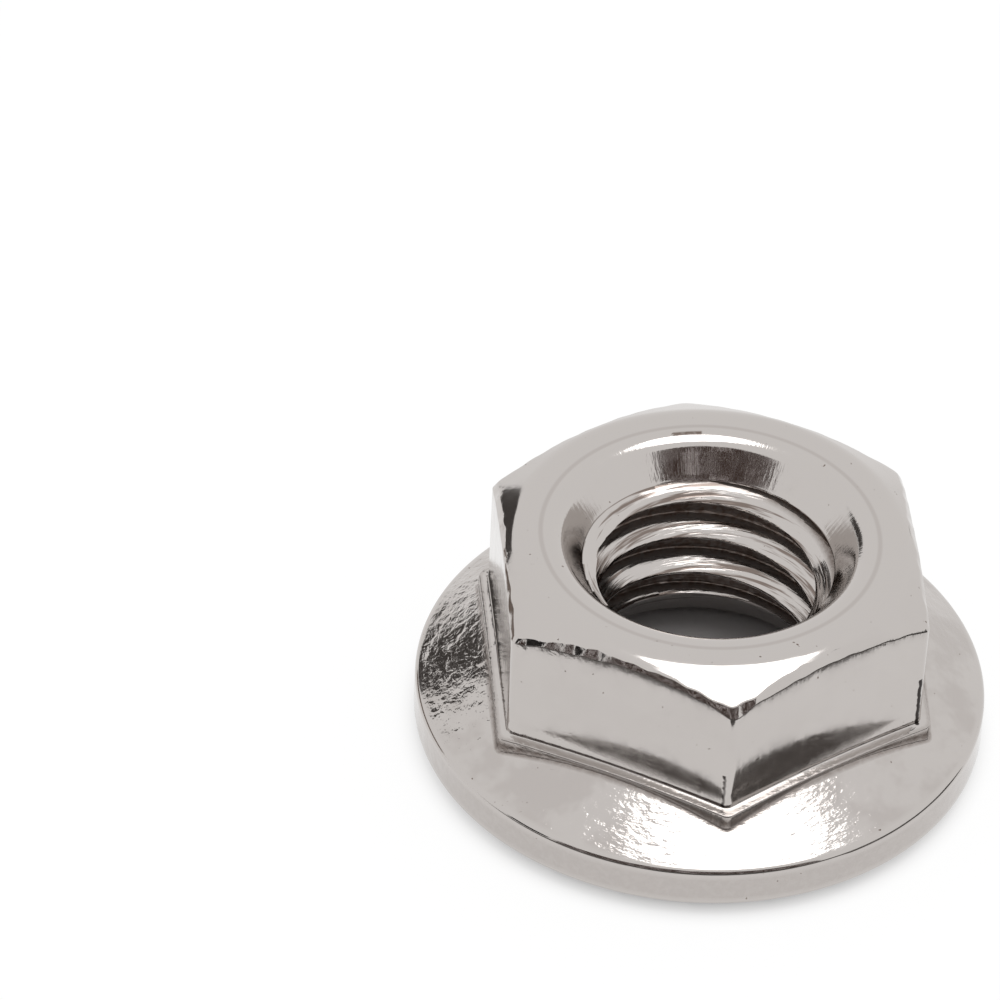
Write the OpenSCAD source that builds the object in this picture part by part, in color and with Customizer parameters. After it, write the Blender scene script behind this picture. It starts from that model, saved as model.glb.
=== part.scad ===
// Serrated hexagon flange nut, forged and threaded from one piece of steel.
// It stands on its bearing side: the tooth tips lie at z = 0, and the bore runs
// along +Z through the origin. One corner of the hexagon points along -Y.

/* [Thread] */
// Nominal diameter of the thread
thread_d = 7.94; // [6:0.02:8.4]
// Pitch of the thread
thread_pitch = 1.411; // [0.75:0.001:1.6]
// How much wider each funnel mouth is than the thread, on each side
mouth_over = 0.57; // [0.3:0.01:0.7]
// Angle between the funnel's wall and the axis
mouth_angle = 33; // [32:0.5:60]
// Radius of the soft lip round the upper mouth
mouth_lip_r = 0.6; // [0.2:0.05:0.7]
// Broken edge round the lower mouth
mouth_edge_break = 0.1; // [0.05:0.05:0.2]

/* [Hexagon] */
// Height of the nut, from the tooth tips to the top face
nut_h = 7.4; // [7.2:0.1:9]
// Width across the flats
width_af = 12.42; // [12.4:0.02:13.2]
// How far each of the six corners is rounded back
corner_cut = 0.05; // [0.03:0.01:0.3]
// Distance from each flat to the circle where the top chamfer starts
chamfer_in = 0.4; // [0.2:0.05:0.6]
// Slope of the top chamfer, from the horizontal
chamfer_angle = 30; // [20:1:35]
// Width of the narrow step that the forging die leaves round the foot
foot_w = 0.28; // [0.1:0.01:0.35]
// Height at which that step meets the middle of each flat, above the flange
foot_h = 0.02; // [0.02:0.01:0.2]
// Slope of the step's upper face, from the horizontal
foot_slope = 9; // [0:1:14]

/* [Flange] */
// Diameter of the flange
flange_d = 17.27; // [17:0.01:20]
// Thickness of the flange at its rim
rim_t = 1.42; // [1.1:0.01:2]
// Slope of the flange's upper face, from the horizontal
flange_slope = 29; // [15:1:32]
// Bevel on the rim's upper edge
rim_edge = 0.12; // [0.05:0.01:0.3]
// Height of the bevel under the rim, from the tooth tips to the rim
bevel_h = 0.53; // [0.4:0.01:0.8]
// Slope of the bevel under the rim, from the horizontal
bevel_angle = 45; // [35:1:60]

/* [Bearing face] */
// Diameter of the shallow recess round the bore
recess_d = 12; // [11:0.1:12.4]
// Depth of the recess
recess_depth = 0.2; // [0.1:0.05:0.4]
// Width of the sloping step round the recess
recess_step_w = 0.2; // [0.1:0.05:0.4]

/* [Serrations] */
// Number of teeth
tooth_n = 24; // [18:1:30]
// Height of the teeth
tooth_h = 0.3; // [0.2:0.01:0.38]
// Locking direction: 1 suits a right-hand thread, -1 a left-hand one
tooth_hand = 1; // [1, -1]
// Plain ring between the recess and the inner ends of the teeth
tooth_gap_in = 0.2; // [0.1:0.05:0.4]
// Angle by which the inner end of a tooth trails its tip
tooth_sweep = 12.5; // [8:0.5:14]
// Radius of the bow of each steep flank, seen along the axis
tooth_bow_r = 4.4; // [4:0.1:8]
// Slope of the steep flank, from the horizontal
tooth_flank = 50; // [40:1:70]
// Height taken off each tip, which leaves a small flat
tip_loss = 0.05; // [0.03:0.01:0.1]

/* [Hidden] */
$fn = 96;

// How far one solid reaches into the one it joins, or a cut past the face it opens
over = 0.3;

// The bore has the thread's minor diameter
minor_r = (thread_d - 1.0825 * thread_pitch) / 2;
mouth_r = thread_d / 2 + mouth_over;
funnel_h = (mouth_r - minor_r) / tan(mouth_angle);

// Heights: the face that carries the teeth, the recess and the rim's upper edge
base_z = tooth_h;
recess_z = base_z + recess_depth;
rim_z = base_z + rim_t;

flange_r = flange_d / 2;
corner_r = width_af / 2 / cos(30) - corner_cut;
chamfer_r = width_af / 2 - chamfer_in;

// Ring of teeth, whose tips lie where the bevel reaches z = 0, with one tooth's tip,
// its inner end and the tip before it
tooth_in_r = recess_d / 2 + recess_step_w + tooth_gap_in;
tip_r = flange_r - bevel_h / tan(bevel_angle);
tip = polar(tip_r, 0);
root = polar(tooth_in_r, -tooth_sweep);
last_tip = polar(tip_r, -360 / tooth_n);
flank_w = tooth_h / tan(tooth_flank);
bow = bow_centre(tip, root, tooth_bow_r, tooth_bow_r + flank_w);

function polar(r, a) = [r * cos(a), r * sin(a)];

// The point that lies rp from p and rq from q, to the left of the way from p to q
function bow_centre(p, q, rp, rq) =
    let (d = norm(q - p), u = (q - p) / d, along = (rp * rp - rq * rq + d * d) / (2 * d))
    p + along * u + sqrt(rp * rp - along * along) * [-u[1], u[0]];

// How far point p lies to the left of the way from a to b
function left_of(a, b, p) =
    ((b[0] - a[0]) * (p[1] - a[1]) - (b[1] - a[1]) * (p[0] - a[0])) / norm(b - a);

// Outline turned round everything: the bevel that cuts the teeth, the rim's wall and
// the top chamfer
module turned_outline() {
    rotate_extrude() polygon([
        [0, 0],
        [tip_r, 0],
        [flange_r, bevel_h],
        [flange_r, nut_h - (flange_r - chamfer_r) * tan(chamfer_angle)],
        [chamfer_r, nut_h],
        [0, nut_h]
    ]);
}

// Hexagon with its corners rounded back, and each flat moved out by `out`
module hexagon(out) {
    foot = base_z + rim_t / 2;
    translate([0, 0, foot]) intersection() {
        rotate([0, 0, 30])
            cylinder(h = nut_h + over - foot, r = (width_af / 2 + out) / cos(30), $fn = 6);
        translate([0, 0, -over])
            cylinder(h = nut_h + 3 * over - foot, r = corner_r + out / cos(30));
    }
}

// Flange with a conical upper face that runs on into the hexagon
module flange() {
    inner_r = width_af / 2 - 2 * over;
    rise = tan(flange_slope);
    rotate_extrude() polygon([
        [0, base_z],
        [flange_r + over, base_z],
        [flange_r + over, rim_z - rim_edge - over * (1 + rise)],
        [flange_r - rim_edge, rim_z + rim_edge * rise],
        [inner_r, rim_z + (flange_r - inner_r) * rise],
        [0, rim_z + (flange_r - inner_r) * rise]
    ]);
}

// Six-sided step round the hexagon's foot, with a gently sloping upper face
module foot_step() {
    flat_r = width_af / 2;
    flat_z = rim_z + (flange_r - flat_r) * tan(flange_slope) + foot_h;
    rise = tan(foot_slope);
    intersection() {
        hexagon(foot_w);
        rotate_extrude() polygon([
            [0, base_z],
            [flange_r, base_z],
            [flange_r, flat_z - (flange_r - flat_r) * rise],
            [flat_r - over, flat_z + over * rise],
            [0, flat_z + over * rise]
        ]);
    }
}

// One ratchet tooth: a ramp that rises to the tip, and a bowed steep flank
module tooth() {
    line = last_tip - root;
    ramp = atan((tooth_h + tip_loss) / left_of(root, last_tip, tip));
    spread = flank_w / tooth_h;
    intersection() {
        translate([0, 0, -over]) rotate([0, 0, 180])
            cylinder(h = base_z + 2 * over, r = flange_r + over / 2);
        translate([bow[0], bow[1], -2 * over])
            cylinder(
                h = base_z + 4 * over,
                r1 = tooth_bow_r - 2 * over * spread,
                r2 = tooth_bow_r + (base_z + 2 * over) * spread
            );
        translate([root[0], root[1], base_z])
            rotate([0, 0, atan2(line[1], line[0])])
            rotate([-ramp, 0, 0])
            translate([-flange_r, -flange_r, 0])
            cube([2 * flange_r, 2 * flange_r, tooth_h + 6 * over]);
    }
}

module serrations() {
    mirror([0, tooth_hand < 0 ? 1 : 0, 0])
        for (i = [0 : tooth_n - 1]) rotate([0, 0, (i + 0.5) * 360 / tooth_n]) tooth();
}

// Bore at the minor diameter, a funnel at each end, and the recess round the lower one
module bore() {
    lip_z = nut_h - mouth_lip_r + mouth_lip_r / 60;
    lip = [mouth_r + (mouth_lip_r + (lip_z - nut_h) * sin(mouth_angle)) / cos(mouth_angle), lip_z];
    step = recess_step_w / recess_depth;
    rotate_extrude() difference() {
        polygon([
            [0, base_z - over / 2],
            [recess_d / 2 + recess_step_w + step * over / 2, base_z - over / 2],
            [recess_d / 2, recess_z],
            [mouth_r + mouth_edge_break, recess_z],
            [mouth_r - mouth_edge_break * tan(mouth_angle), recess_z + mouth_edge_break],
            [minor_r, recess_z + funnel_h],
            [minor_r, nut_h - funnel_h],
            lip + mouth_lip_r * [-cos(mouth_angle), sin(mouth_angle)],
            lip,
            [lip[0], nut_h + over],
            [0, nut_h + over]
        ]);
        translate(lip) circle(r = mouth_lip_r);
    }
}

module flange_nut() {
    color("#c8c5c1")
    difference() {
        intersection() {
            union() {
                hexagon(0);
                flange();
                foot_step();
                serrations();
            }
            turned_outline();
        }
        bore();
    }
}

flange_nut();
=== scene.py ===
import bmesh
import bpy
import numpy as np
from mathutils import Matrix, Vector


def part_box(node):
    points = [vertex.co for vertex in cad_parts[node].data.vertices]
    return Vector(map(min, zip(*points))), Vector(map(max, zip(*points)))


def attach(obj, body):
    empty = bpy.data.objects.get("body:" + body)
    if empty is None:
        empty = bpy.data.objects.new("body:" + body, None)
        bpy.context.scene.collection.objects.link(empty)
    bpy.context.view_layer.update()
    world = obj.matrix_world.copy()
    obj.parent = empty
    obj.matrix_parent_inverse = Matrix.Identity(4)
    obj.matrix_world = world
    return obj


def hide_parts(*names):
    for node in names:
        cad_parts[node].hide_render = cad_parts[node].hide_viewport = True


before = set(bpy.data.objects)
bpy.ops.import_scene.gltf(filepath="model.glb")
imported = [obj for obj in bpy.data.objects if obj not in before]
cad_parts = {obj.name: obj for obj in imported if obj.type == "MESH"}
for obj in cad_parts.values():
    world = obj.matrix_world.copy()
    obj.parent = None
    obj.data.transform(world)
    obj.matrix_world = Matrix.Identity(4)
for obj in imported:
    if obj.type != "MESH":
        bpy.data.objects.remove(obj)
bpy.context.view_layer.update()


# Camera
# A long lens that looks down on the nut at 40 degrees, with one corner of the hexagon
# turned almost towards it. It aims beside the nut, which stands low on the right.

MM = 0.001
scene = bpy.context.scene
scene.view_settings.view_transform = "Standard"
aim, away = np.array([-5.66, 6.15, 3.7]) * MM, 214.0 * MM
around, up, tilt = np.radians([-96.37, 40.46, 2.76])
to_back = np.array([np.cos(up) * np.cos(around), np.cos(up) * np.sin(around), np.sin(up)])
level_right = np.array([-np.sin(around), np.cos(around), 0.0])
level_top = np.cross(to_back, level_right)
to_right = np.cos(tilt) * level_right + np.sin(tilt) * level_top
to_top = np.cos(tilt) * level_top - np.sin(tilt) * level_right
eye = aim + away * to_back
camera = bpy.data.objects.new("camera", bpy.data.cameras.new("camera"))
camera.data.lens = 250.9
camera.data.sensor_width = 36.0
camera.data.clip_start = 0.005
camera.data.clip_end = 20.0
camera.matrix_world = Matrix([
    [to_right[i], to_top[i], to_back[i], eye[i]] for i in range(3)
] + [[0.0, 0.0, 0.0, 1.0]])
scene.collection.objects.link(camera)
scene.camera = camera


# Light tent
# White walls all round, a soft lamp above and a little to the right, a sheet of white
# paper to stand on, and dark cards on all sides, which only reflections see.

wall_light = 0.62
lamp_watts = 0.42
lamp_size, lamp_place = 0.26, (0.05, -0.02, 0.34)       # metres
floor_z, floor_reach = -0.004, 900                      # just under the tips, millimetres
# The shaded colour is painted shade: the paper is darker under the nut, inside shade_from to shade_to.
paper_colour, shaded_colour = (0.9, 0.9, 0.9, 1.0), (0.62, 0.6, 0.6, 1.0)
paper_glow, open_share = 1.06, 0.82
shade_from, shade_to = 7.2 * MM, 9.2 * MM
dark_brown, pale_vein = (0.05, 0.024, 0.016, 1.0), (0.85, 0.8, 0.8, 1.0)


def feed(tree, node, inputs):
    """Sets a node's inputs, each to a plain value or to another node's output."""
    for name, value in inputs.items():
        if isinstance(value, bpy.types.NodeSocket):
            tree.links.new(value, node.inputs[name])
        else:
            node.inputs[name].default_value = value


def add_node(tree, kind, inputs, **settings):
    """Adds a shader node with these inputs and settings, and gives back its outputs."""
    node = tree.nodes.new("ShaderNode" + kind)
    for name, value in settings.items():
        setattr(node, name, value)
    feed(tree, node, inputs)
    return node.outputs


def combine(tree, operation, a, b):
    """One operation on two values, such as their product or the larger of them."""
    return add_node(tree, "Math", {0: a, 1: b}, operation=operation)[0]


def rescale(tree, value, start, end, low=0.0, high=1.0, kind="LINEAR"):
    """Takes the range from start to end over to the range from low to high, in a straight
    line or smoothly, and stops at both ends."""
    return add_node(tree, "MapRange", {
        "Value": value, "From Min": start, "From Max": end, "To Min": low, "To Max": high},
        interpolation_type=kind)[0]


def seen(tree):
    """1 for camera, glossy and transmission rays, else 0: the largest of the three."""
    ray = add_node(tree, "LightPath", {})
    first = combine(tree, "MAXIMUM", ray["Is Camera Ray"], ray["Is Glossy Ray"])
    return combine(tree, "MAXIMUM", first, ray["Is Transmission Ray"])


def flat_sheet(name, corners):
    """A stage sheet with four corners, given in millimetres."""
    mesh = bpy.data.meshes.new(name)
    mesh.from_pydata([tuple(np.array(c) * MM) for c in corners], [], [(0, 1, 2, 3)])
    sheet = bpy.data.objects.new(name, mesh)
    scene.collection.objects.link(sheet)
    return sheet


def standing(toward, distance, half_width, bottom, top):
    """Corners of an upright sheet that faces the nut from the direction `toward`, in
    degrees: its middle, and half its width to either side of it."""
    a = np.radians(toward)
    middle = distance * np.array([np.cos(a), np.sin(a)])
    side = half_width * np.array([-np.sin(a), np.cos(a)])
    left, right = middle + side, middle - side
    return [(*left, bottom), (*right, bottom), (*right, top), (*left, top)]


world = bpy.data.worlds.new("tent")
scene.world = world
world.use_nodes = True
tree = world.node_tree
feed(tree, tree.nodes["Background"], {
    "Color": (1.0, 1.0, 1.0, 1.0), "Strength": rescale(tree, seen(tree), 0.0, 1.0, wall_light, 1.0)})

lamp = bpy.data.objects.new("soft_lamp", bpy.data.lights.new("soft_lamp", "AREA"))
lamp.data.shape = "DISK"
lamp.data.size = lamp_size
lamp.data.energy = lamp_watts
lamp.location = lamp_place
scene.collection.objects.link(lamp)

# The paper shows white where it is open. Under the nut it loses its glow, and its colour is darker there:
# painted shade.
floor = flat_sheet("floor", [(x, y, floor_z) for x, y in (
    (-floor_reach, -floor_reach), (floor_reach, -floor_reach),
    (floor_reach, floor_reach), (-floor_reach, floor_reach))])
paper = bpy.data.materials.new("white_paper")
paper.use_nodes = True
tree = paper.node_tree
place = add_node(tree, "TexCoord", {})["Object"]
off_axis = add_node(tree, "VectorMath", {0: place}, operation="LENGTH")["Value"]
open_floor = rescale(tree, off_axis, shade_from, shade_to, 0.0, open_share, "SMOOTHSTEP")
shade = add_node(tree, "Mix", {"Factor": open_floor, "A": shaded_colour, "B": paper_colour},
                 data_type="RGBA")["Result"]
matt = tree.nodes["Principled BSDF"]
feed(tree, matt, {"Base Color": shade, "Roughness": 1.0, "Specular IOR Level": 0.0})
glow = add_node(tree, "Emission", {"Color": (1.0, 1.0, 1.0, 1.0), "Strength": paper_glow})
share = combine(tree, "MULTIPLY", seen(tree), open_floor)
blend = add_node(tree, "MixShader", {"Fac": share, 1: matt.outputs["BSDF"], 2: glow["Emission"]})
feed(tree, tree.nodes["Material Output"], {"Surface": blend["Shader"]})
floor.data.materials.append(paper)

# The low cards lean back from the nut's foot, and the standing ones face it from afar.
for name, colour, corners in (
        ("low_card", (0.1, 0.094, 0.09),
         [(-75, -14.5, 0.05), (75, -14.5, 0.05), (150, -110, 14), (-150, -110, 14)]),
        ("near_left_card", (0.14, 0.13, 0.125),
         [(-20, -4.8, 0.06), (-5.8, -13.1, 0.06), (-57, -99, 14.1), (-71, -91, 14.1)]),
        ("near_right_card", (0.13, 0.122, 0.118),
         [(7.4, -10.7, 0.06), (17.4, -5.0, 0.06), (67, -92, 14.1), (57, -98, 14.1)]),
        ("right_card", (0.06, 0.056, 0.054),
         [(14.8, -60, 0.05), (14.8, -2, 0.05), (90, 4, 14), (90, -120, 14)]),
        ("front_card", dark_brown[:3], standing(-98.7, 120, 129, 14, 112)),
        ("left_card", (0.015, 0.013, 0.012), standing(-156, 120, 17, 14, 52)),
        ("back_card", (0.09, 0.082, 0.078), standing(127, 40, 9, 10.5, 27)),
        ("side_card", (0.28, 0.23, 0.2), standing(152, 40, 11, 0.05, 9))):
    card = flat_sheet(name, corners)
    card.visible_camera = False
    card.visible_diffuse = False
    card.visible_shadow = False
    paint = bpy.data.materials.new(name + "_paint")
    paint.use_nodes = True
    feed(paint.node_tree, paint.node_tree.nodes["Principled BSDF"],
         {"Base Color": (*colour, 1.0), "Roughness": 1.0})
    card.data.materials.append(paint)

# The front card is marbled, dark brown with narrow pale veins.
tree = bpy.data.materials["front_card_paint"].node_tree
place = add_node(tree, "TexCoord", {})["Object"]
wide = add_node(tree, "Mapping", {"Vector": place, "Scale": (1.6, 1.6, 0.8)})[0]
veins = add_node(tree, "TexNoise", {"Vector": wide, "Scale": 75.0, "Detail": 4.0, "Distortion": 1.5})[0]
pale = rescale(tree, veins, 0.53, 0.60, kind="SMOOTHSTEP")
marbled = add_node(tree, "Mix", {"Factor": pale, "A": dark_brown, "B": pale_vein},
                   data_type="RGBA")["Result"]
feed(tree, tree.nodes["Principled BSDF"], {"Base Color": marbled})


# Flange nut
# One piece of stainless steel: the hexagon and flange are cold forged, the bore and
# the funnels are turned and tapped, and the teeth are pressed into the bearing face.

# Sizes in millimetres. The flange's radius and the nut's height come from the frame. The
# thread's minor diameter is the nominal one less 1.0825 pitches, its root the nominal one.
flange_r, nut_h = (round(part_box("flange_nut")[1][axis] / MM, 3) for axis in (0, 2))
thread_d, pitch = 7.94, 1.411
minor_r, major_r = (thread_d - 1.0825 * pitch) / 2, thread_d / 2
flat_r, corner_round = 6.21, 0.32
chamfer_r, chamfer_slope = 5.81, np.radians(30)
rim_z, flange_slope = 1.72, np.radians(29)
step_w, step_rise, step_slope = 0.28, 0.02, np.radians(9)
bevel_z = 0.53
mouth_r, lip_round = 4.54, 0.6
low_lean = np.tan(np.radians(33))
recess_r, recess_z, recess_step = 6.0, 0.5, 0.2
teeth, tooth_h, tooth_in_r, tooth_lag = 24, 0.3, 6.4, 12.5
tip_r, tip_loss = flange_r - bevel_z, 0.05
bow_r, flank_w = 4.4, tooth_h / np.tan(np.radians(50))

# How far each softened edge reaches: the bevel's, the rim's, the step's and the foot's,
# then the rolled edge's lower and upper one, the top's and the lower mouth's.
bevel_soft, rim_soft, step_soft, foot_soft = 0.07, 0.14, 0.05, 0.04
roll_soft, roll_end, top_soft, mouth_soft = 0.022, 0.05, 0.24, 0.13

# The upper funnel ends in a circle just above the thread, and the lower one a little
# way off the thread's root.
circle_r, circle_z = 3.77, 6.33
root_gap = 0.02

columns = 480
tooth_turn = 360.0 / teeth
per_tooth = columns // teeth
rows = []        # each row runs once round: angle, radius, height, forged skin, dirt and painted shade


def add_row(angle, radius, height, forged=0.0, dirt_and_shade=0.0):
    """Keeps one ring of points, each value spread over all columns."""
    rows.append([np.broadcast_to(np.asarray(value, float), columns)
                 for value in (angle, radius, height, forged, dirt_and_shade)])


def on_line(a, b, part):
    """The value that lies `part` of the way from a to b."""
    return a + (b - a) * part


def between(steps):
    """Parts of a way that is cut into equal steps, without its two ends."""
    return np.linspace(0, 1, steps + 1)[1:-1]


def add_soft_edge(angles, before, corner, after, reach, steps, forged=0.0, dirt_and_shade=0.0):
    """Rings round a softened edge. It starts `reach` before the corner, or half-way to
    `before` where that is nearer, ends as far behind it, and is a parabola that leaves
    and meets both lines without a kink."""
    before, corner, after = (
        np.stack([np.broadcast_to(np.asarray(value, float), columns) for value in point])
        for point in (before, corner, after))
    back, on = before - corner, after - corner
    start = corner + back * np.minimum(reach / np.hypot(*back), 0.5)
    end = corner + on * np.minimum(reach / np.hypot(*on), 0.5)
    for s in np.linspace(0, 1, steps + 1):
        point = (1 - s) ** 2 * start + 2 * s * (1 - s) * corner + s * s * end
        add_row(angles, point[0], point[1], forged, dirt_and_shade)


def polar(r, degrees):
    """(x, y) of a point at radius r and an angle in degrees."""
    return np.stack([r * np.cos(np.radians(degrees)), r * np.sin(np.radians(degrees))])


# The first tooth, seen along the axis: its tip, the inner end of its flank, the tip
# before it, the centre of the flank's bow, and the line that its ramp falls from. The
# ramp would end `tip_loss` past the tips' plane, which cuts it off flat.
tip, root, last_tip = polar(tip_r, 0), polar(tooth_in_r, -tooth_lag), polar(tip_r, -tooth_turn)
way = root - tip
span = np.hypot(*way)
along = (bow_r ** 2 - (bow_r + flank_w) ** 2 + span ** 2) / (2 * span)
aside = np.sqrt(bow_r ** 2 - along ** 2)
bow = tip + along * way / span + aside * np.array([-way[1], way[0]]) / span
valley_line = (last_tip - root) / np.hypot(*(last_tip - root))
to_tip = np.array([-valley_line[1], valley_line[0]])
ramp_fall = (tooth_h + tip_loss) / np.dot(tip - root, to_tip)


def ramp_z(x, y):
    """Height of the first tooth's ramp: the valley line's height, less the distance
    from that line times the fall."""
    return tooth_h - ramp_fall * ((x - root[0]) * to_tip[0] + (y - root[1]) * to_tip[1])


def flank_z(x, y):
    """Height of the first tooth's steep flank: it grows with the distance from the
    bow's centre, past the bow's radius."""
    return (np.hypot(x - bow[0], y - bow[1]) - bow_r) * tooth_h / flank_w


def tooth_z(radius, degrees):
    """Height of the toothed face. Each tooth is the higher of its ramp and flank, and
    the face is the lowest of the four teeth that are nearest, between the tips' plane
    and the valleys'."""
    low = np.full(np.broadcast(radius, degrees).shape, tooth_h)
    first = np.round(degrees / tooth_turn - 0.5)
    for near in (-1, 0, 1, 2):
        x, y = polar(radius, degrees - (first + near + 0.5) * tooth_turn)
        low = np.minimum(low, np.maximum(ramp_z(x, y), flank_z(x, y)))
    return np.clip(low, 0.0, tooth_h)


def next_ramp_z(x, y):
    """Height of the ramp of the tooth after the first, no higher than the valley."""
    c, s = np.cos(np.radians(tooth_turn)), np.sin(np.radians(tooth_turn))
    return np.minimum(ramp_z(c * x + s * y, c * y - s * x), tooth_h)


def crossing(difference, radius, low, high):
    """Angle between low and high, in degrees, at which a difference of two heights turns
    positive on circles of these radii, found by halving."""
    low, high = np.full_like(radius, low), np.full_like(radius, high)
    for _ in range(40):
        middle = (low + high) / 2
        positive = difference(*polar(radius, middle)) > 0
        high = np.where(positive, middle, high)
        low = np.where(positive, low, middle)
    return (low + high) / 2


def tooth_columns(radius):
    """Angle of each column on circles of these radii, in degrees. Of a tooth's twenty
    columns, five stand on its steep flank, three in the valley, twelve on the ramp. Each
    search for an edge starts a few degrees wider than the angles that it can have."""
    crest = crossing(lambda x, y: flank_z(x, y) - ramp_z(x, y), radius, -16.0, 3.0)
    foot = crossing(lambda x, y: flank_z(x, y) - next_ramp_z(x, y), radius, -14.0, 6.0)
    foot = np.maximum(foot, crest + 0.5)
    valley = crossing(lambda x, y: tooth_h - ramp_z(x, y), radius, -18.0, 1.0)
    valley = np.clip(valley + tooth_turn, foot + 0.3, crest + tooth_turn - 1.6)
    tooth, number = np.divmod(np.arange(columns) - per_tooth // 2, per_tooth)
    within = np.where(
        number < 5, on_line(crest, foot, number / 5),
        np.where(number < 8, on_line(foot, valley, (number - 5) / 3),
                 on_line(valley, crest + tooth_turn, (number - 8) / 12)))
    return within + (tooth + 0.5) * tooth_turn


# The teeth end at a bevel of 45 degrees, as far past the tips' circle as the face there is
# high. In each round the guess moves half of the way to that radius.
outer_r = np.full(columns, tip_r + 0.15)
for _ in range(30):
    outer_r = on_line(outer_r, tip_r + tooth_z(outer_r, tooth_columns(outer_r)), 0.5)

# Angles of the columns: even ones, ones that crowd towards the hexagon's corners by a
# hyperbolic sine, and ones that follow the teeth at their inner and outer ends.
per_side, crowding = columns // 6, 2.4
even = np.arange(columns) * 360.0 / columns
sixth, on_side = np.divmod(np.arange(columns), per_side)
from_corner = 2 * on_side / per_side - 1
crowded = 60.0 * sixth + 30.0 * (1 + np.sinh(crowding * from_corner) / np.sinh(crowding))
inner_ends = tooth_columns(np.full(columns, tooth_in_r))
outer_ends = tooth_columns(outer_r)

# Lower funnel, from the end of the thread down to the recess, then out to the teeth.
low_z = recess_z + (mouth_r - major_r - root_gap) / low_lean
mouth_foot = (mouth_r + 0.03, recess_z)
recess_inner, recess_outer = (mouth_r + 0.1, recess_z), (recess_r, recess_z)
recess_rim, teeth_edge = (recess_r + recess_step, tooth_h), (tooth_in_r, tooth_h)
for part in np.linspace(0, 0.92, 5)[1:]:
    add_row(even, on_line(major_r + root_gap, mouth_r, part), on_line(low_z, recess_z, part))
add_soft_edge(even, (major_r, low_z), mouth_foot, recess_outer, mouth_soft, 3)
for part in between(6):
    add_row(on_line(even, inner_ends, part),
            on_line(mouth_foot[0] + mouth_soft, recess_r - step_soft, part), recess_z)
add_soft_edge(inner_ends, recess_inner, recess_outer, recess_rim, step_soft, 2)
add_soft_edge(inner_ends, recess_outer, recess_rim, teeth_edge, step_soft, 2)
for part in np.linspace(0, 1, 15):
    radius = on_line(tooth_in_r, outer_r, part)
    degrees = tooth_columns(radius)
    add_row(degrees, radius, tooth_z(radius, degrees))

# Bevel under the rim, the rim's wall and its soft upper edge.
bevel_edge, rim_edge = (flange_r, bevel_z), (flange_r, rim_z)
wall_columns = on_line(outer_ends, even, 0.35)
for part in between(4):
    add_row(on_line(outer_ends, even, part * 0.3),
            on_line(outer_r, flange_r, part), on_line(outer_r - tip_r, bevel_z, part))
add_soft_edge(wall_columns, (tip_r, 0), bevel_edge, rim_edge, bevel_soft, 3)
# The rim's wall is painted a little darker all round: painted shade.
for part in between(6):
    add_row(on_line(wall_columns, crowded, part), flange_r,
            on_line(bevel_z + bevel_soft, rim_z - rim_soft, part), forged=0.35, dirt_and_shade=0.13)


def cone_z(radius):
    """Height of the flange's upper face: the rim's height and the rise inwards."""
    return rim_z + (flange_r - radius) * np.tan(flange_slope)


def hexagon_r(degrees, to_flat):
    """Distance from the axis to the side of a hexagon: the flat's distance over the
    cosine of the angle from its middle, and a circle round each soft corner."""
    off = np.abs((degrees % 60.0) - 30.0)
    flat = to_flat / np.cos(np.radians(30.0 - off))
    centre = (to_flat - corner_round) / np.cos(np.radians(30.0))
    arc_end = np.arctan2(corner_round / 2, centre + corner_round * np.cos(np.radians(30.0)))
    aside = centre * np.sin(np.radians(off))
    arc = centre * np.cos(np.radians(off)) + np.sqrt(np.maximum(corner_round ** 2 - aside ** 2, 0))
    return np.where(off < np.degrees(arc_end), arc, flat)


# Edges of the hexagon and of the step round its foot, each as (radius, height).
side_r, step_r = hexagon_r(crowded, flat_r), hexagon_r(crowded, flat_r + step_w)
ledge_z = cone_z(flat_r) + step_rise
step_foot = (step_r, cone_z(step_r))
step_edge = (step_r, ledge_z - (step_r - flat_r) * np.tan(step_slope))
side_foot = (side_r, ledge_z - (side_r - flat_r) * np.tan(step_slope))
side_head = (side_r, nut_h - (side_r - chamfer_r) * np.tan(chamfer_slope))
chamfer_top = (chamfer_r, nut_h)

# The chamfer's lower edge is rolled over unevenly, by a few waves round the nut, and
# most at the front corner. The roll reaches a little further up the chamfer than down
# the flat.
front_corner, corner_spread = 270.0, 4.0
mean_roll, corner_roll = 0.128, 0.12
rolled = mean_roll + corner_roll * np.exp(-((crowded - front_corner) / corner_spread) ** 2)
for waves, width, shift in ((5, 0.034, 1), (13, 0.022, 0), (37, 0.016, 2), (61, 0.012, 0)):
    rolled += width * np.sin(waves * np.radians(crowded) + shift)
rolled_foot = (side_r, side_head[1] - rolled)
roll_reach = 1.13 * rolled
rolled_head = (side_r - roll_reach * np.cos(chamfer_slope),
               side_head[1] + roll_reach * np.sin(chamfer_slope))

# Flange, step and flats. The die's skin is rough on the flange and fine on the flats, and the step's foot
# and ledge are painted darker: painted shade under the step.
add_soft_edge(crowded, bevel_edge, rim_edge, step_foot, rim_soft, 5)
for part in between(14):
    radius = on_line(flange_r - rim_soft * np.cos(flange_slope), step_r + 0.045, part)
    add_row(crowded, radius, cone_z(radius), forged=1.0)
add_soft_edge(crowded, rim_edge, step_foot, step_edge, step_soft, 2, forged=1.0, dirt_and_shade=0.6)
add_row(crowded, step_r, on_line(step_foot[1], step_edge[1], 0.5), forged=1.0, dirt_and_shade=0.8)
add_soft_edge(crowded, step_foot, step_edge, side_foot, step_soft, 3, forged=0.9, dirt_and_shade=0.25)
add_row(crowded, on_line(step_r, side_r, 0.5), on_line(step_edge[1], side_foot[1], 0.5), forged=0.7)
add_soft_edge(crowded, step_edge, side_foot, side_head, foot_soft, 2, forged=0.3)
for part in between(8):
    height = on_line(side_foot[1] + foot_soft, rolled_foot[1] - roll_end, part)
    add_row(crowded, side_r, height, forged=0.12)

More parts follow.
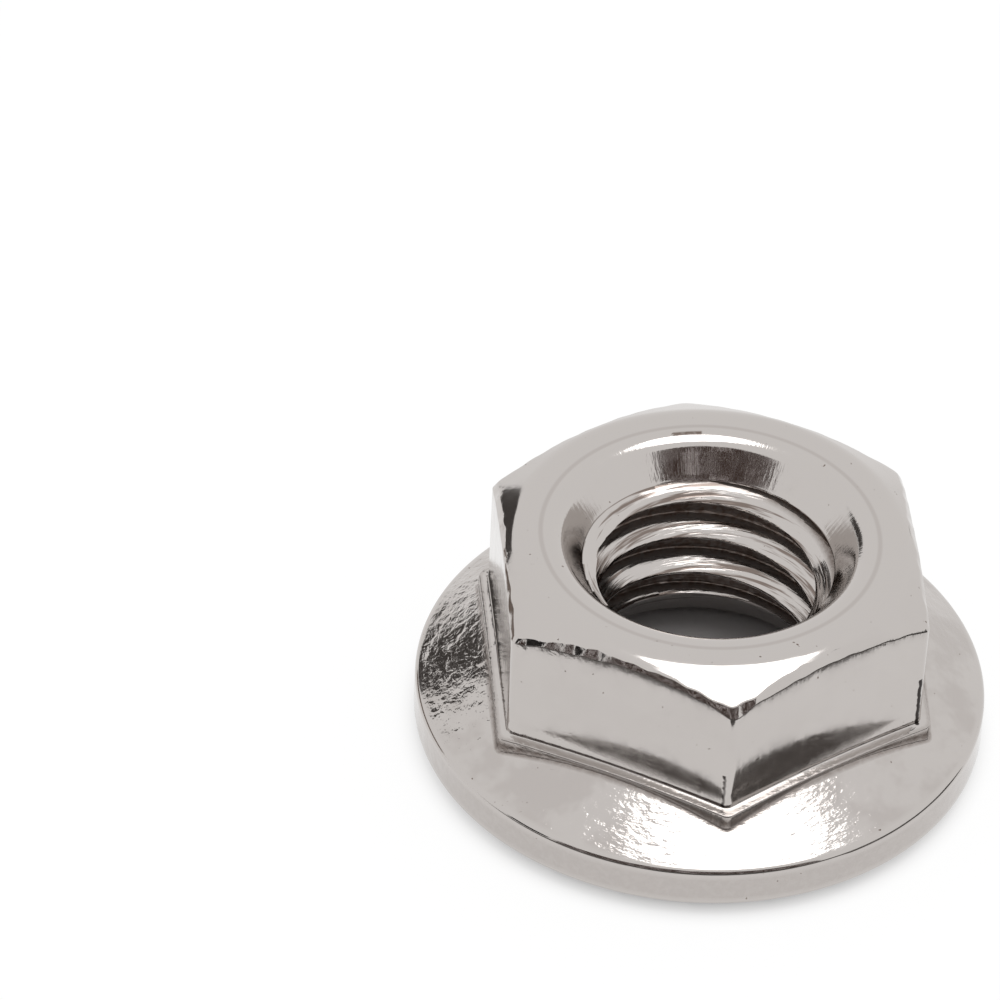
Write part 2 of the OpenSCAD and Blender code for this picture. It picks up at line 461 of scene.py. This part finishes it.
# Top chamfer, the plain ring and the soft lip of the upper mouth.
add_soft_edge(crowded, side_foot, rolled_foot, rolled_head, roll_soft, 3, forged=0.3)
add_soft_edge(crowded, rolled_foot, rolled_head, chamfer_top, roll_end, 3, forged=0.2)
for part in between(5):
    add_row(crowded, on_line(rolled_head[0] - roll_end * np.cos(chamfer_slope),
                             chamfer_r + top_soft * np.cos(chamfer_slope), part),
            on_line(rolled_head[1] + roll_end / 2, nut_h - top_soft / 2, part), forged=0.1)
add_soft_edge(crowded, rolled_head, chamfer_top, (mouth_r, nut_h), top_soft, 5)
lean = np.arctan((mouth_r - circle_r) / (nut_h - circle_z))
lip_z = nut_h - lip_round
lip_r = mouth_r + lip_round * (1 - np.sin(lean)) / np.cos(lean)
for part in between(8):
    add_row(on_line(crowded, even, part * 0.6), on_line(chamfer_r - top_soft, lip_r, part), nut_h)
for part in np.linspace(0, 1, 10):
    turned = on_line(np.pi / 2, np.pi - lean, part)
    add_row(on_line(crowded, even, 0.6 + 0.4 * part), lip_r + lip_round * np.cos(turned),
            lip_z + lip_round * np.sin(turned))

# Upper funnel, down to a soft edge just above the thread.
end_r, end_z = lip_r - lip_round * np.cos(lean), lip_z + lip_round * np.sin(lean)
funnel_foot_r, funnel_foot_z = circle_r + 0.03, circle_z + 0.045
for part in (*between(6), 1):
    add_row(even, on_line(end_r, funnel_foot_r, part), on_line(end_z, funnel_foot_z, part))
add_row(even, circle_r + 0.008, circle_z + 0.02)
table = np.array(rows)                      # rows x values x columns

# A short dark scratch on the back of the upper lip.
scratch_r, scratch_w, scratch_angle, scratch_turn = 4.77, 0.1, 92.5, 11.0
scratch = (
    (abs(table[:, 1] - scratch_r) < scratch_w / 2) & (table[:, 2] > nut_h - 0.1)
    & (abs(table[:, 0] - scratch_angle) < scratch_turn / 2))
table[:, 4][scratch] = 0.95

# Thread: rings that climb one pitch a turn, so that the height is the start's, plus the
# pitch times the turns and the share of a turn. They run from the lower funnel to the
# circle where the upper one ends. Each ridge has a broad rolled crest. Its outline is
# given as the share of a pitch and the depth, from 0 on the crest to 1 in the root.
crest_back_z, back_turn = 4.438, 90 / 360   # a crest's height on the bore's back wall
crest_r = minor_r + 0.05
profile = np.array([
    [0.000, 0.03], [0.010, 0.00], [0.040, 0.00], [0.062, 0.03], [0.095, 0.12], [0.14, 0.22],
    [0.19, 0.35], [0.24, 0.48], [0.285, 0.60], [0.305, 0.70], [0.335, 0.90], [0.355, 0.97],
    [0.39, 1.0], [0.47, 1.0], [0.56, 1.0], [0.65, 1.0], [0.69, 0.98], [0.73, 0.90],
    [0.85, 0.46], [0.96, 0.09]])
per_turn = len(profile)
turns = int(np.ceil((circle_z - low_z) / pitch)) + 2
start_z = crest_back_z - back_turn * pitch
start_z -= pitch * np.ceil((start_z - (low_z - pitch)) / pitch)
steps = (np.arange(turns)[:, None] + profile[:, 0]).ravel()
depth = np.tile(profile[:, 1], turns)[:, None]
z = start_z + pitch * (steps[:, None] + even / 360.0)
wall = np.broadcast_to(on_line(crest_r, major_r, depth), z.shape)

# The groove runs out smoothly below the upper circle, where a wide cone opens the first
# turn. The cone and the lower funnel cut the ridges that they meet: the wall is the
# larger of the two radii, with a soft edge between them.
run_out, cone_lean, cut_soft = 0.09, 2.2, 0.02
opened = np.clip((circle_z - z) / run_out, 0, 1)
opened = opened * opened * (3 - 2 * opened)
wall = np.where(wall > circle_r, on_line(circle_r, wall, opened), wall)
funnel = np.maximum(circle_r - (circle_z - z) * cone_lean, mouth_r - (z - recess_z) * low_lean)
bore_r = (wall + funnel + np.sqrt((wall - funnel) ** 2 + cut_soft ** 2)) / 2
below, above = z <= low_z, z >= circle_z
bore_r = np.where(below, major_r + root_gap, np.where(above, circle_r, bore_r))
z = np.clip(z, low_z, circle_z)

# Brown grime and painted shade fill the deeper half of the groove, but not where a funnel has cut it
# open.
groove = np.where(below | above, 0.0, np.clip((depth - 0.5) / 0.3, 0, 1))
groove = groove * np.clip((wall - funnel + 0.15) / 0.1, 0, 1)

angle = np.radians(np.concatenate([table[:, 0], np.broadcast_to(even, z.shape)]))
radius = np.concatenate([table[:, 1], bore_r])
height = np.concatenate([table[:, 2], z])
points = np.stack([radius * np.cos(angle), radius * np.sin(angle), height], axis=-1)
corner = np.arange(points.shape[0] * columns).reshape(-1, columns)
ring, spiral = corner[:len(table)], corner[len(table):]


def quads(lower, upper, lower_next, upper_next):
    """Four-sided faces between two rings, given their corners' numbers."""
    return np.stack([lower, upper, upper_next, lower_next], axis=-1).reshape(-1, 4)


# Each turn of the thread ends where the next one starts, one pitch higher. Its last
# points stand on a ring at each end, which the funnels join.
low_ring, high_ring = spiral[0], spiral[-1]
faces = [
    quads(ring[:-1], ring[1:], np.roll(ring[:-1], -1, axis=1), np.roll(ring[1:], -1, axis=1)),
    quads(spiral[:-1, :-1], spiral[1:, :-1], spiral[:-1, 1:], spiral[1:, 1:]),
    quads(spiral[:-1 - per_turn, -1], spiral[1:-per_turn, -1],
          spiral[per_turn:-1, 0], spiral[per_turn + 1:, 0]),
    quads(high_ring, ring[-1], np.roll(high_ring, -1), np.roll(ring[-1], -1))[:, ::-1],
    quads(low_ring, ring[0], np.roll(low_ring, -1), np.roll(ring[0], -1)),
]
mesh = bpy.data.meshes.new("nut")
mesh.from_pydata((points.reshape(-1, 3) * MM).tolist(), [], np.concatenate(faces).tolist())
# The dirt values hold a real scratch and grime, and also painted shade in the grooves, under the step and
# on the rim's wall.
for name, outer, inner in (
        ("forged", table[:, 3], np.zeros(z.shape)), ("dirt_and_shade", table[:, 4], groove),
        ("thread", np.zeros(table[:, 3].shape), np.ones(z.shape))):
    values = np.concatenate([outer, inner]).astype(np.float32).ravel()
    mesh.attributes.new(name, "FLOAT", "POINT").data.foreach_set("value", values)

# Points that fall together at the thread's ends are merged into one closed shell.
touching, sharp = 1e-8, np.radians(55)
form = bmesh.new()
form.from_mesh(mesh)
bmesh.ops.remove_doubles(form, verts=form.verts, dist=touching)
bmesh.ops.dissolve_degenerate(form, edges=form.edges, dist=touching)
bmesh.ops.recalc_face_normals(form, faces=form.faces)
form.to_mesh(mesh)
form.free()
mesh.shade_smooth()
mesh.set_sharp_from_angle(angle=sharp)
nut = bpy.data.objects.new("nut", mesh)
scene.collection.objects.link(nut)


def new_group(name, inputs, outputs):
    """Starts a node group with these sockets, each given as name: kind. Gives back the
    group, what comes in through its sockets, and the node that takes its results."""
    group = bpy.data.node_groups.new(name, "ShaderNodeTree")
    for side, sockets in (("INPUT", inputs), ("OUTPUT", outputs)):
        for socket, kind in sockets.items():
            group.interface.new_socket(socket, in_out=side, socket_type="NodeSocket" + kind)
    return group, group.nodes.new("NodeGroupInput").outputs, group.nodes.new("NodeGroupOutput")


def beside_axis(tree, position):
    """A place with its height taken off, so that its length is the distance from the axis."""
    return add_node(tree, "VectorMath", {0: position, 1: (1.0, 1.0, 0.0)}, operation="MULTIPLY")[0]


# Fine lines that run round the axis: noise that changes fast across the lines and
# slowly along them. The place along the lines is the unit vector away from the axis.
lines, given, result = new_group(
    "turned_lines", {"Position": "Vector", "Across": "Float", "Lines": "Float", "Turns": "Float"},
    {"Height": "Float"})
unit = add_node(lines, "VectorMath", {0: beside_axis(lines, given["Position"])}, operation="NORMALIZE")[0]
along_line = add_node(lines, "VectorMath", {0: unit, "Scale": given["Turns"]}, operation="SCALE")[0]
across_line = combine(lines, "MULTIPLY", given["Across"], given["Lines"])
stack = add_node(lines, "CombineXYZ", {"Z": across_line})[0]
line_place = add_node(lines, "VectorMath", {0: along_line, 1: stack}, operation="ADD")[0]
grain = add_node(lines, "TexNoise", {"Vector": line_place, "Scale": 1.0, "Detail": 3.0, "Roughness": 0.6})
feed(lines, result, {"Height": grain[0]})

# Skin that a forging die leaves: soft dents, and patches where it is rougher.
skin, given, result = new_group("forged_skin", {"Position": "Vector", "Size": "Float"},
                                {"Height": "Float", "Patches": "Float"})
dents = add_node(skin, "TexNoise", {"Vector": given["Position"], "Scale": given["Size"],
                                    "Detail": 2.0, "Roughness": 0.5, "Distortion": 0.6})
blotches = add_node(skin, "TexNoise", {"Vector": given["Position"], "Scale": 620.0,
                                       "Detail": 3.0, "Roughness": 0.6})
patches = rescale(skin, blotches[0], 0.42, 0.62, kind="SMOOTHSTEP")
feed(skin, result, {"Height": dents[0], "Patches": patches})

# Small dark specks and pits: the lowest spots of a fine noise.
specks, given, result = new_group(
    "specks", {"Position": "Vector", "Size": "Float", "Amount": "Float"}, {"Mask": "Float"})
spots = add_node(specks, "TexNoise", {"Vector": given["Position"], "Scale": given["Size"],
                                      "Detail": 2.0, "Roughness": 0.5})
core = combine(specks, "SUBTRACT", given["Amount"], 0.04)
feed(specks, result, {"Mask": rescale(specks, spots[0], core, given["Amount"], 1.0, 0.0, "SMOOTHSTEP")})

# A fine upright crack: near a line that stands at `Foot`, wavering with the height.
crack_waver, crack_edge, crack_core = 0.11 * MM, 0.09 * MM, 0.05 * MM
crack, given, result = new_group(
    "crack", {"Position": "Vector", "Foot": "Vector", "Bottom": "Float", "Top": "Float"},
    {"Mask": "Float"})
crack_z = add_node(crack, "SeparateXYZ", {0: given["Position"]})["Z"]
upright = add_node(crack, "CombineXYZ", {"Z": crack_z})[0]
waver = add_node(crack, "TexNoise", {"Vector": upright, "Scale": 3200.0, "Detail": 2.0})[0]
shift = rescale(crack, waver, 0.0, 1.0, -crack_waver, crack_waver)
sideways = add_node(crack, "CombineXYZ", {"X": shift})[0]
moved = add_node(crack, "VectorMath", {0: beside_axis(crack, given["Position"]), 1: sideways},
                 operation="ADD")[0]
gap = add_node(crack, "VectorMath", {0: moved, 1: given["Foot"]}, operation="DISTANCE")["Value"]
thin = rescale(crack, gap, crack_edge, crack_core, kind="SMOOTHSTEP")
above_bottom = combine(crack, "GREATER_THAN", crack_z, given["Bottom"])
below_top = combine(crack, "LESS_THAN", crack_z, given["Top"])
on_height = combine(crack, "MULTIPLY", above_bottom, below_top)
feed(crack, result, {"Mask": combine(crack, "MULTIPLY", on_height, thin)})

# The dark brown colour is grime, and is also painted shade in the grooves, under the step and on the
# rim's wall.
steel_colour, grime_and_shade_colour = (0.535, 0.503, 0.482, 1.0), (0.13, 0.088, 0.068, 1.0)
crack_colour = (0.03, 0.024, 0.022, 1.0)
steel = bpy.data.materials.new("bare_steel")
steel.use_nodes = True
tree = steel.node_tree
place = add_node(tree, "TexCoord", {})["Object"]
apart = add_node(tree, "SeparateXYZ", {0: place})
off_axis = add_node(tree, "VectorMath", {0: beside_axis(tree, place)}, operation="LENGTH")["Value"]
forged, dirt_and_shade, thread = (add_node(tree, "Attribute", {}, attribute_name=name)["Fac"]
                        for name in ("forged", "dirt_and_shade", "thread"))

# Lines, counted in a metre across them: close ones on the thread and the turned faces,
# wrinkles that run round the flange, and upright streaks in the upper funnel.
thread_lines, face_lines, wrinkles, streaks = (
    add_node(tree, "Group", {"Position": place, "Across": across, "Lines": count, "Turns": turns},
             node_tree=lines)[0]
    for across, count, turns in ((apart["Z"], 9500.0, 1.2), (off_axis, 12000.0, 2.5),
                                 (off_axis, 5200.0, 14.0), (apart["Z"], 1500.0, 42.0)))
coarse, fine = (add_node(tree, "Group", {"Position": place, "Size": size}, node_tree=skin)
                for size in (1500.0, 5200.0))

# The flange's left side is the roughest. The streaks keep to the funnel, between the
# mouth and the thread. The bumps lie one over the other, with depths in millimetres.
rough_side = rescale(tree, apart["X"], -3.5 * MM, -6.2 * MM, 0.22, 1.0, "SMOOTHSTEP")
forged_part = combine(tree, "MULTIPLY", forged, rough_side)
in_funnel = rescale(tree, off_axis, 4.8 * MM, 4.5 * MM)
above_thread = rescale(tree, apart["Z"], 6.3 * MM, 6.45 * MM)
in_mouth = combine(tree, "MULTIPLY", in_funnel, above_thread)
normal = None
for texture, depth, strength in (
        (coarse["Height"], 0.05, forged_part), (fine["Height"], 0.016, forged_part),
        (thread_lines, 0.022, thread), (face_lines, 0.0012, 1.0),
        (wrinkles, 0.024, forged), (streaks, 0.006, in_mouth)):
    before = {"Normal": normal} if normal else {}
    normal = add_node(tree, "Bump", {"Height": texture, "Distance": depth * MM,
                                     "Strength": strength, **before})[0]

# Brown grime and painted shade in the thread's grooves, painted shade under the foot step, on its ledge
# and on the rim's wall, dark scores along the thread, a few specks, worn patches on the skin, and a faint
# ring round the mouth.
ring_mark_r, ring_mark_edge, ring_mark_core = 5.06 * MM, 0.11 * MM, 0.02 * MM
specked = add_node(tree, "Group", {"Position": place, "Size": 5200.0, "Amount": 0.26},
                   node_tree=specks)[0]
broken = rescale(tree, fine["Height"], 0.35, 0.6, 0.7, 1.0)
dirt_and_shade_mask = combine(tree, "MULTIPLY", dirt_and_shade, broken)
scored = combine(tree, "MULTIPLY", rescale(tree, thread_lines, 0.47, 0.38, 0.0, 0.8), thread)
worn = combine(tree, "MULTIPLY", coarse["Patches"], forged)
ring_gap = combine(tree, "SUBTRACT", off_axis, ring_mark_r)
ring_off = add_node(tree, "Math", {0: ring_gap}, operation="ABSOLUTE")[0]
ring_mark = rescale(tree, ring_off, ring_mark_edge, ring_mark_core, 0.0, 0.16, "SMOOTHSTEP")
marked = dirt_and_shade_mask
for mark in (specked, scored, ring_mark, rescale(tree, worn, 0.0, 1.0, 0.0, 0.13)):
    marked = combine(tree, "MAXIMUM", marked, mark)

# Two cracks, on the front corner and on the right one.
front_crack, right_crack = (
    add_node(tree, "Group", {"Position": place, "Foot": foot, "Bottom": 2.4 * MM, "Top": top * MM},
             node_tree=crack)[0]
    for foot, top in (((-0.1 * MM, -7.04 * MM, 0.0), 4.2), ((6.06 * MM, -3.67 * MM, 0.0), 4.7)))
cracked = combine(tree, "MAXIMUM", front_crack, right_crack)

# Where the mask is high the steel takes the dark brown colour: grime, marks and painted shade.
soiled_and_shaded = add_node(tree, "Mix", {"Factor": marked, "A": steel_colour, "B": grime_and_shade_colour},
                  data_type="RGBA")["Result"]
colour = add_node(tree, "Mix", {"Factor": cracked, "A": soiled_and_shaded, "B": crack_colour},
                  data_type="RGBA")["Result"]
feed(tree, tree.nodes["Principled BSDF"], {
    "Base Color": colour, "Normal": normal,
    "Metallic": rescale(tree, dirt_and_shade_mask, 0.0, 1.0, 1.0, 0.35),
    "Roughness": rescale(tree, coarse["Height"], 0.3, 0.7, 0.06, 0.14)})
mesh.materials.append(steel)

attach(nut, "root")
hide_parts("flange_nut")
